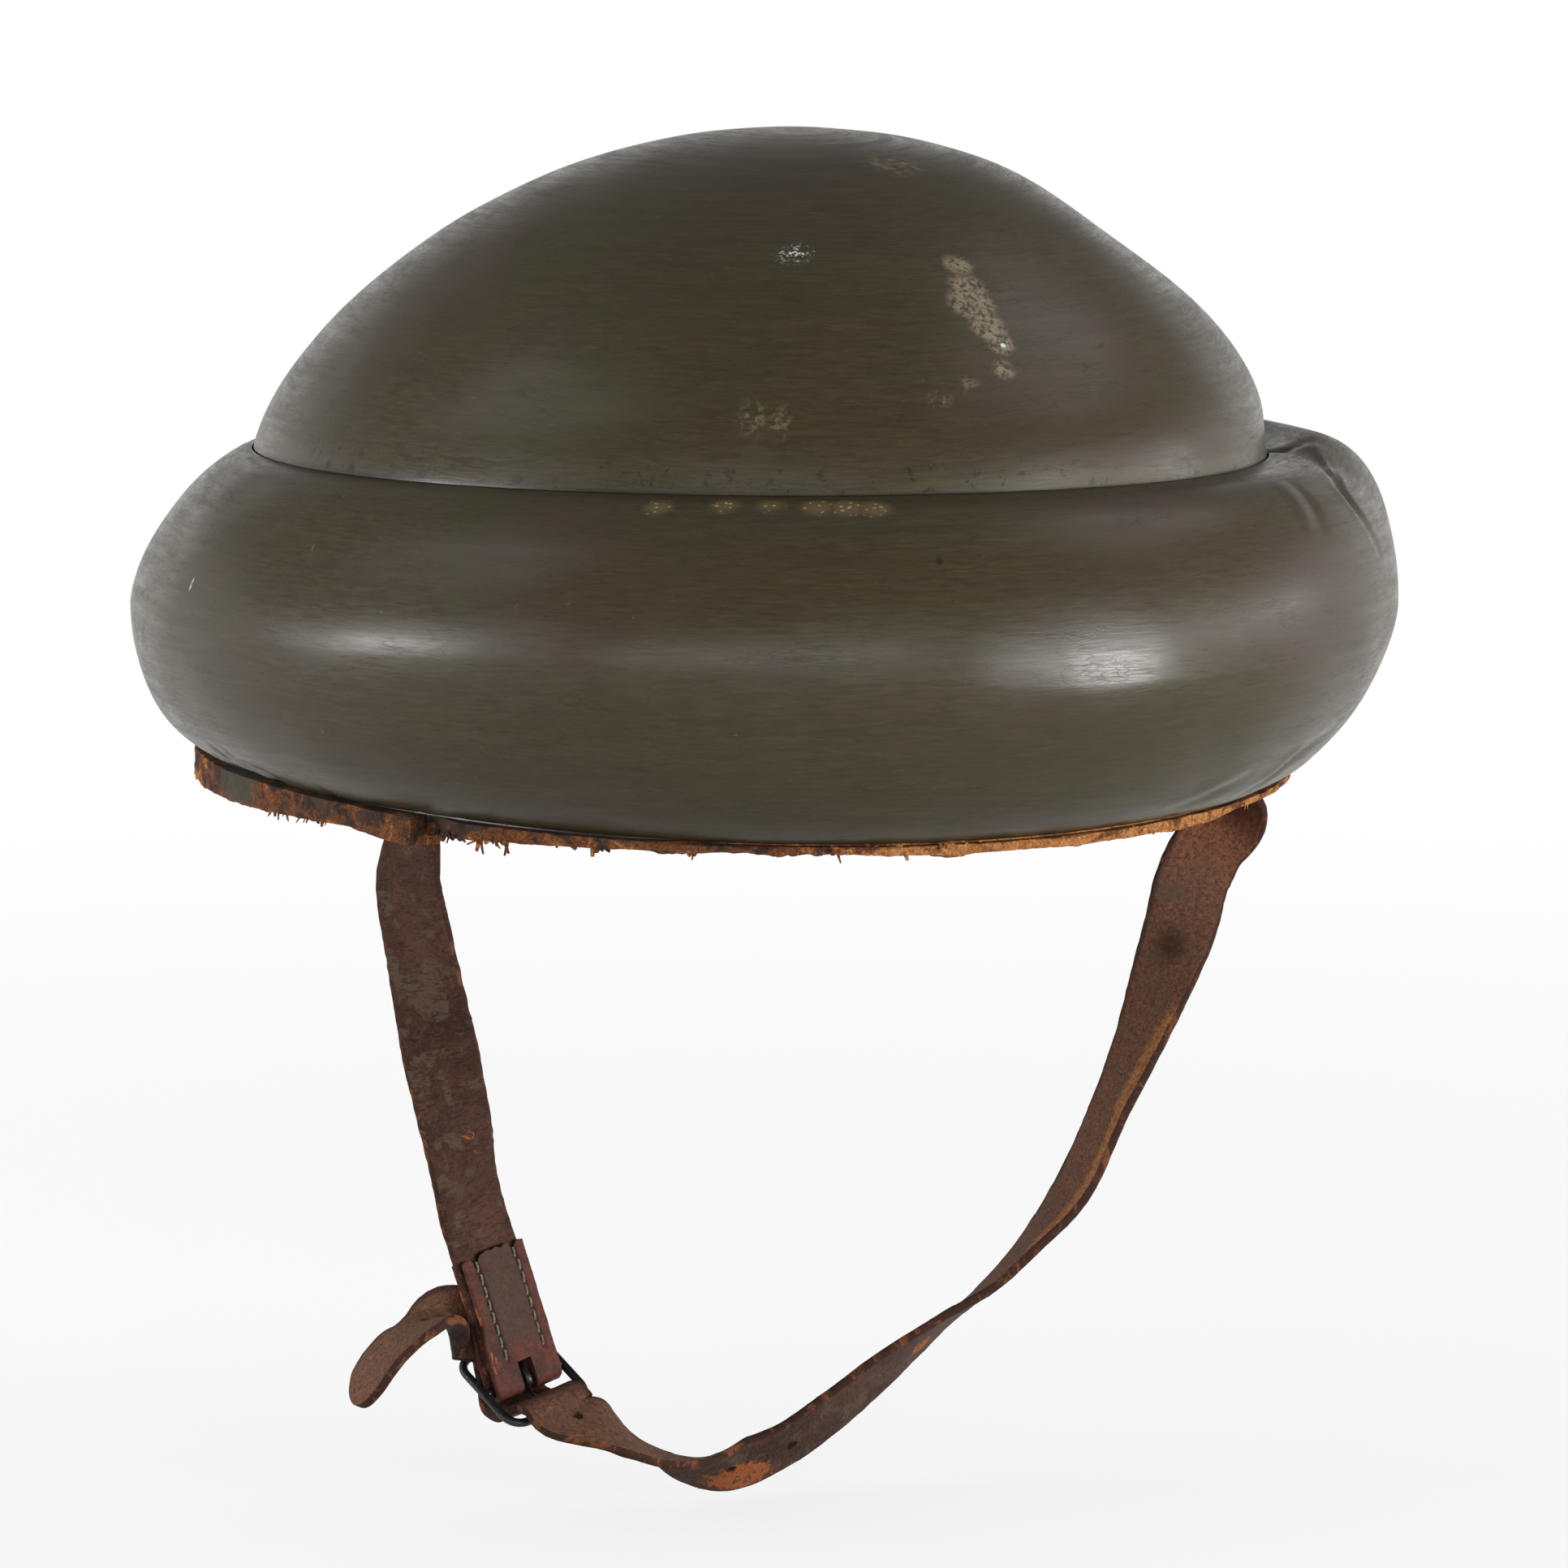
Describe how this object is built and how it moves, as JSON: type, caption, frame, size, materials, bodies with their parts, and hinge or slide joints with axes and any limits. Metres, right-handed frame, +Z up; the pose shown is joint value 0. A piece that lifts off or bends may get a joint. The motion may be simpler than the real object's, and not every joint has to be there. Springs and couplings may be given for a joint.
{
  "type": "leather tanker helmet",
  "caption": "Moulded leather bowl with a padded roll round it, a raw leather rim strip, a felt-backed lining and a chin strap with a wire buckle.",
  "frame": {"origin": "centre of the head opening, on the plane of the rim's lower edge", "axes": "+Z up through the crown, -Y towards the wearer's front, +X towards the wearer's left"},
  "size_m": [0.2626, 0.2926, 0.2844],
  "materials": {
    "painted_leather": "satin dark olive-brown paint over moulded leather, worn and finely crazed",
    "raw_strip": "raw dark brown leather strip, frayed, orange where the surface has gone",
    "stuffing": "packed fibre",
    "felt": "grey wool felt",
    "lining": "tan lining leather",
    "copper": "dull copper",
    "strap_leather": "dark brown strap leather, orange flesh side",
    "chape_leather": "reddish brown leather, stitched, worn orange at its edges",
    "black_wire": "black japanned steel wire"
  },
  "bodies": {
    "helmet": {"crown_shell": "painted_leather", "ring_cover": "painted_leather", "ring_padding": "stuffing", "rim_binding": "raw_strip", "sweatband": "lining", "front_pad": "felt", "left_pad": "felt", "right_pad": "felt", "rear_pad": "felt", "liner_tongue_1": "lining", "liner_tongue_2": "lining", "liner_tongue_3": "lining", "liner_tongue_4": "lining", "liner_tongue_5": "lining", "liner_tongue_6": "lining", "liner_tongue_7": "lining", "liner_tongue_8": "lining", "crown_disc": "lining", "crown_pad": "felt", "strap_rivet_left": "copper", "strap_rivet_right": "copper", "rivet_burr_left": "copper", "rivet_burr_right": "copper"},
    "chin_strap": {"buckle_strap": "strap_leather", "chape": "chape_leather", "tongue_strap": "strap_leather"},
    "buckle": {"buckle_frame": "black_wire"},
    "prong": {"buckle_prong": "black_wire"}
  },
  "joints": [
    {"name": "strap_swing", "type": "hinge", "parent": "helmet", "child": "chin_strap", "pos_m": [0, -0.0334, 0.016], "axis": [1, 0, 0], "range_deg": [-25, 30]},
    {"name": "buckle_tilt", "type": "hinge", "parent": "chin_strap", "child": "buckle", "pos_m": [-0.06559, -0.03004, -0.11985], "axis": [0.9435, 0.2364, 0.2324], "range_deg": [-4, 4]},
    {"name": "prong_tilt", "type": "hinge", "parent": "buckle", "child": "prong", "pos_m": [-0.06559, -0.03004, -0.11985], "axis": [0.9435, 0.2364, 0.2324], "range_deg": [0, 4]}
  ]
}
